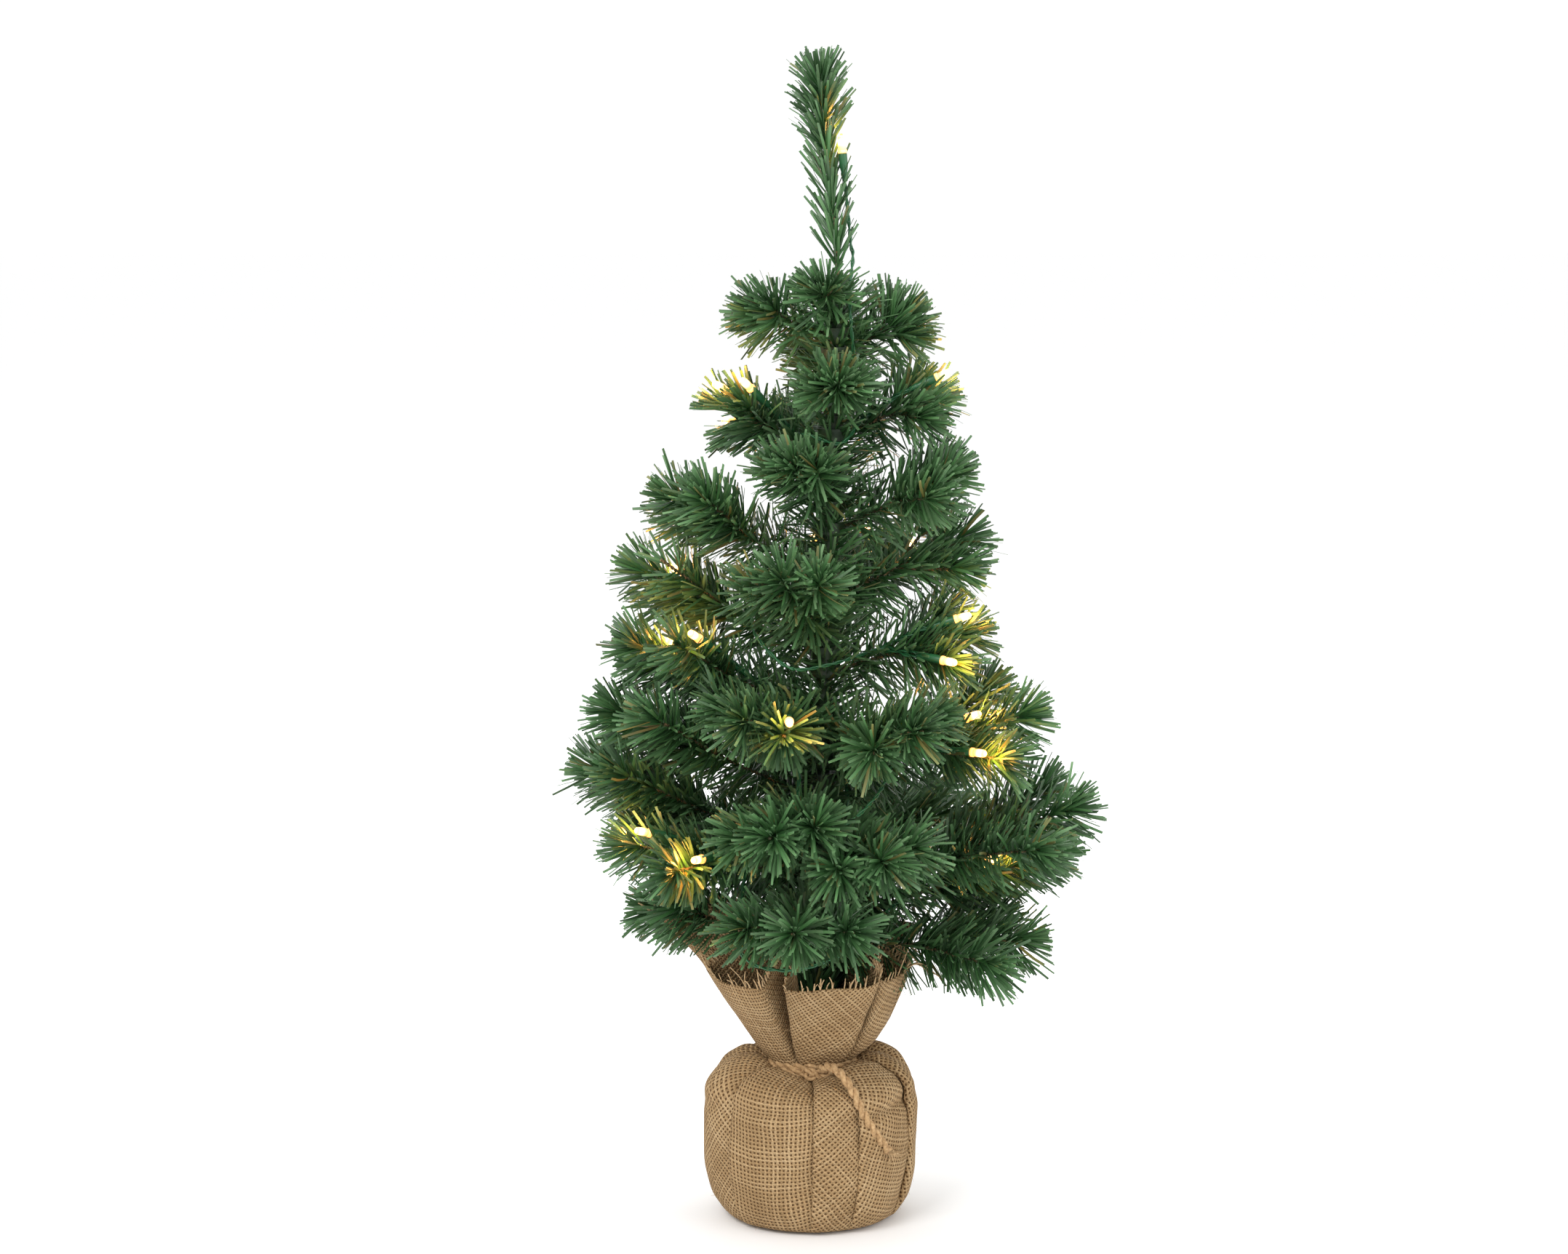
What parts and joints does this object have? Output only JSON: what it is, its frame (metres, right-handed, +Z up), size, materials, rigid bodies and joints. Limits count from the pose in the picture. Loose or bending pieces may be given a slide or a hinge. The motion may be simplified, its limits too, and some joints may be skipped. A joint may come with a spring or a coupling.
{
  "type": "artificial tabletop tree",
  "caption": "Small artificial conifer with wire branches, a battery light string and a gathered burlap sack tied round its weighted base.",
  "frame": {"origin": "centre of the sack's flat bottom face", "axes": "+Z up along the tree, -Y towards the front, +X to the right seen from the front"},
  "size_m": [0.3351, 0.2741, 0.7499],
  "materials": {
    "needles": "satin",
    "tape": "satin",
    "rod_steel": "satin",
    "cup_plastic": "satin",
    "cement": "matte",
    "burlap": "matte",
    "jute": "matte",
    "pack_plastic": "satin",
    "cell_jacket": "gloss",
    "contact_metal": "polished",
    "board": "satin",
    "switch_plastic": "satin",
    "green_wire": "satin",
    "lamp": "gloss"
  },
  "bodies": {
    "base": {"weight_cup": "cup_plastic", "cement_weight": "cement", "trunk_pole": "rod_steel", "trunk_wrap": "tape", "burlap_sack": "burlap", "jute_tie": "jute", "jute_tail": "jute", "battery_case": "pack_plastic", "battery_cells": "cell_jacket", "battery_contacts": "contact_metal", "timer_board": "board", "light_wire": "green_wire"},
    "battery_door": {"battery_door": "pack_plastic"},
    "switch_slider": {"switch_slider": "switch_plastic"},
    "branch_01": {"branch_01": "needles"},
    "branch_02": {"branch_02": "needles"},
    "branch_03": {"branch_03": "needles", "lamps_03": "lamp"},
    "branch_04": {"branch_04": "needles"},
    "branch_05": {"branch_05": "needles"},
    "branch_06": {"branch_06": "needles"},
    "branch_07": {"branch_07": "needles", "lamps_07": "lamp"},
    "branch_08": {"branch_08": "needles"},
    "branch_09": {"branch_09": "needles"},
    "branch_10": {"branch_10": "needles"},
    "branch_11": {"branch_11": "needles"},
    "branch_12": {"branch_12": "needles"},
    "branch_13": {"branch_13": "needles"},
    "branch_14": {"branch_14": "needles", "lamps_14": "lamp"},
    "branch_15": {"branch_15": "needles"},
    "branch_16": {"branch_16": "needles"},
    "branch_17": {"branch_17": "needles", "lamps_17": "lamp"},
    "branch_18": {"branch_18": "needles", "lamps_18": "lamp"},
    "branch_19": {"branch_19": "needles", "lamps_19": "lamp"},
    "branch_20": {"branch_20": "needles", "lamps_20": "lamp"},
    "branch_21": {"branch_21": "needles"},
    "branch_22": {"branch_22": "needles", "lamps_22": "lamp"},
    "branch_23": {"branch_23": "needles"},
    "branch_24": {"branch_24": "needles"},
    "branch_25": {"branch_25": "needles"},
    "branch_26": {"branch_26": "needles"},
    "branch_27": {"branch_27": "needles"},
    "branch_28": {"branch_28": "needles", "lamps_28": "lamp"},
    "branch_29": {"branch_29": "needles", "lamps_29": "lamp"},
    "branch_30": {"branch_30": "needles"},
    "branch_31": {"branch_31": "needles"},
    "branch_32": {"branch_32": "needles"},
    "branch_33": {"branch_33": "needles"},
    "branch_34": {"branch_34": "needles"},
    "leader": {"leader": "needles", "leader_lamp": "lamp"}
  },
  "joints": [
    {"name": "battery_door_slide", "type": "slide", "parent": "base", "child": "battery_door", "axis": [0, 0.5, 0.866], "range_m": [0, 0.058]},
    {"name": "switch_slide", "type": "slide", "parent": "base", "child": "switch_slider", "axis": [1, 0, 0], "range_m": [-0.002, 0.002]},
    {"name": "branch_01_bend", "type": "hinge", "parent": "base", "child": "branch_01", "pos_m": [0.00948, -0.00097, 0.176], "axis": [-0.1392, -0.9903, 0], "range_deg": [-6, 6]},
    {"name": "branch_02_bend", "type": "hinge", "parent": "base", "child": "branch_02", "pos_m": [-0.00418, 0.00024, 0.184], "axis": [0.0349, 0.9994, 0], "range_deg": [-9, 12]},
    {"name": "branch_03_bend", "type": "hinge", "parent": "base", "child": "branch_03", "pos_m": [0.00993, 0.00145, 0.192], "axis": [0.2079, -0.9781, 0], "range_deg": [-6, 6], "deforming": ["light_wire"]},
    {"name": "branch_04_bend", "type": "hinge", "parent": "base", "child": "branch_04", "pos_m": [0.0025, -0.00695, 0.2], "axis": [-0.9925, 0.1219, 0], "range_deg": [-15, 12]},
    {"name": "branch_05_bend", "type": "hinge", "parent": "base", "child": "branch_05", "pos_m": [0.01041, -0.00169, 0.208], "axis": [-0.2419, -0.9703, 0], "range_deg": [-6, 12]},
    {"name": "branch_06_bend", "type": "hinge", "parent": "base", "child": "branch_06", "pos_m": [-0.0008, 0.0052, 0.216], "axis": [0.7431, 0.6691, 0], "range_deg": [-15, 15]},
    {"name": "branch_07_bend", "type": "hinge", "parent": "base", "child": "branch_07", "pos_m": [-0.00229, -0.00274, 0.224], "axis": [-0.3907, 0.9205, 0], "range_deg": [-15, 6], "deforming": ["light_wire"]},
    {"name": "branch_08_bend", "type": "hinge", "parent": "base", "child": "branch_08", "pos_m": [0.00873, 0.00552, 0.232], "axis": [0.788, -0.6157, 0], "range_deg": [-15, 3]},
    {"name": "branch_09_bend", "type": "hinge", "parent": "base", "child": "branch_09", "pos_m": [-0.00228, 0.00061, 0.24], "axis": [0.0872, 0.9962, 0], "range_deg": [-6, 6]},
    {"name": "branch_10_bend", "type": "hinge", "parent": "base", "child": "branch_10", "pos_m": [0.00736, -0.00658, 0.248], "axis": [-0.9397, -0.342, 0], "range_deg": [-12, 9]},
    {"name": "branch_11_bend", "type": "hinge", "parent": "base", "child": "branch_11", "pos_m": [0.00462, 0.00697, 0.256], "axis": [0.9962, 0.0872, 0], "range_deg": [-6, 15]},
    {"name": "branch_12_bend", "type": "hinge", "parent": "base", "child": "branch_12", "pos_m": [0.00357, -0.00673, 0.264], "axis": [-0.9613, 0.2756, 0], "range_deg": [-9, 24]},
    {"name": "branch_13_bend", "type": "hinge", "parent": "base", "child": "branch_13", "pos_m": [-0.00103, -0.00097, 0.276], "axis": [-0.1392, 0.9903, 0], "range_deg": [-9, 12]},
    {"name": "branch_14_bend", "type": "hinge", "parent": "base", "child": "branch_14", "pos_m": [0.01328, -0.00049, 0.288], "axis": [-0.0698, -0.9976, 0], "range_deg": [-15, 21], "deforming": ["light_wire"]},
    {"name": "branch_15_bend", "type": "hinge", "parent": "base", "child": "branch_15", "pos_m": [0.00239, 0.00552, 0.3], "axis": [0.788, 0.6157, 0], "range_deg": [-15, 30]},
    {"name": "branch_16_bend", "type": "hinge", "parent": "base", "child": "branch_16", "pos_m": [0.01109, -0.00573, 0.311], "axis": [-0.8192, -0.5736, 0], "range_deg": [-15, 21]},
    {"name": "branch_17_bend", "type": "hinge", "parent": "base", "child": "branch_17", "pos_m": [0.00373, -0.00594, 0.322], "axis": [-0.848, 0.5299, 0], "range_deg": [-15, 12], "deforming": ["light_wire"]},
    {"name": "branch_18_bend", "type": "hinge", "parent": "base", "child": "branch_18", "pos_m": [0.00108, -0.00181, 0.334], "axis": [-0.2588, 0.9659, 0], "range_deg": [-15, 21], "deforming": ["light_wire"]},
    {"name": "branch_19_bend", "type": "hinge", "parent": "base", "child": "branch_19", "pos_m": [0.01558, -0.00097, 0.358], "axis": [-0.1392, -0.9903, 0], "range_deg": [-15, 9], "deforming": ["light_wire"]},
    {"name": "branch_20_bend", "type": "hinge", "parent": "base", "child": "branch_20", "pos_m": [0.00216, 0.00122, 0.37], "axis": [0.1736, 0.9848, 0], "range_deg": [-15, 12], "deforming": ["light_wire"]},
    {"name": "branch_21_bend", "type": "hinge", "parent": "base", "child": "branch_21", "pos_m": [0.00683, -0.00649, 0.382], "axis": [-0.9272, 0.3746, 0], "range_deg": [-15, 21]},
    {"name": "branch_22_bend", "type": "hinge", "parent": "base", "child": "branch_22", "pos_m": [0.01225, 0.00658, 0.394], "axis": [0.9397, -0.342, 0], "range_deg": [-15, 18], "deforming": ["light_wire"]},
    {"name": "branch_23_bend", "type": "hinge", "parent": "base", "child": "branch_23", "pos_m": [0.01715, 0.00122, 0.406], "axis": [0.1736, -0.9848, 0], "range_deg": [-9, 27]},
    {"name": "branch_24_bend", "type": "hinge", "parent": "base", "child": "branch_24", "pos_m": [0.0038, -0.00097, 0.42], "axis": [-0.1392, 0.9903, 0], "range_deg": [-12, 24]},
    {"name": "branch_25_bend", "type": "hinge", "parent": "base", "child": "branch_25", "pos_m": [0.01839, -0.00216, 0.45], "axis": [-0.309, -0.9511, 0], "range_deg": [-15, 12]},
    {"name": "branch_26_bend", "type": "hinge", "parent": "base", "child": "branch_26", "pos_m": [0.00931, -0.00634, 0.466], "axis": [-0.9063, 0.4226, 0], "range_deg": [-15, 21]},
    {"name": "branch_27_bend", "type": "hinge", "parent": "base", "child": "branch_27", "pos_m": [0.00952, 0.00618, 0.482], "axis": [0.8829, 0.4695, 0], "range_deg": [-15, 9]},
    {"name": "branch_28_bend", "type": "hinge", "parent": "base", "child": "branch_28", "pos_m": [0.00628, 0.00024, 0.496], "axis": [0.0349, 0.9994, 0], "range_deg": [-15, 9], "deforming": ["light_wire"]},
    {"name": "branch_29_bend", "type": "hinge", "parent": "base", "child": "branch_29", "pos_m": [0.02072, -0.00061, 0.51], "axis": [-0.0872, -0.9962, 0], "range_deg": [-15, 12], "deforming": ["light_wire"]},
    {"name": "branch_30_bend", "type": "hinge", "parent": "base", "child": "branch_30", "pos_m": [0.01459, -0.007, 0.528], "axis": [-0.9994, -0.0349, 0], "range_deg": [-15, 21]},
    {"name": "branch_31_bend", "type": "hinge", "parent": "base", "child": "branch_31", "pos_m": [0.0137, 0.00689, 0.545], "axis": [0.9848, 0.1736, 0], "range_deg": [-15, 21]},
    {"name": "branch_32_bend", "type": "hinge", "parent": "base", "child": "branch_32", "pos_m": [0.02249, 0, 0.562], "axis": [0, -1, 0], "range_deg": [-15, 21]},
    {"name": "branch_33_bend", "type": "hinge", "parent": "base", "child": "branch_33", "pos_m": [0.009, -0.00122, 0.574], "axis": [-0.1736, 0.9848, 0], "range_deg": [-15, 9]},
    {"name": "branch_34_bend", "type": "hinge", "parent": "base", "child": "branch_34", "pos_m": [0.0138, -0.00649, 0.59], "axis": [-0.9272, 0.3746, 0], "range_deg": [-15, 21]},
    {"name": "leader_bend", "type": "hinge", "parent": "base", "child": "leader", "pos_m": [0.017, 0, 0.607], "axis": [0, 1, 0], "range_deg": [-24, 24], "deforming": ["light_wire"]}
  ]
}
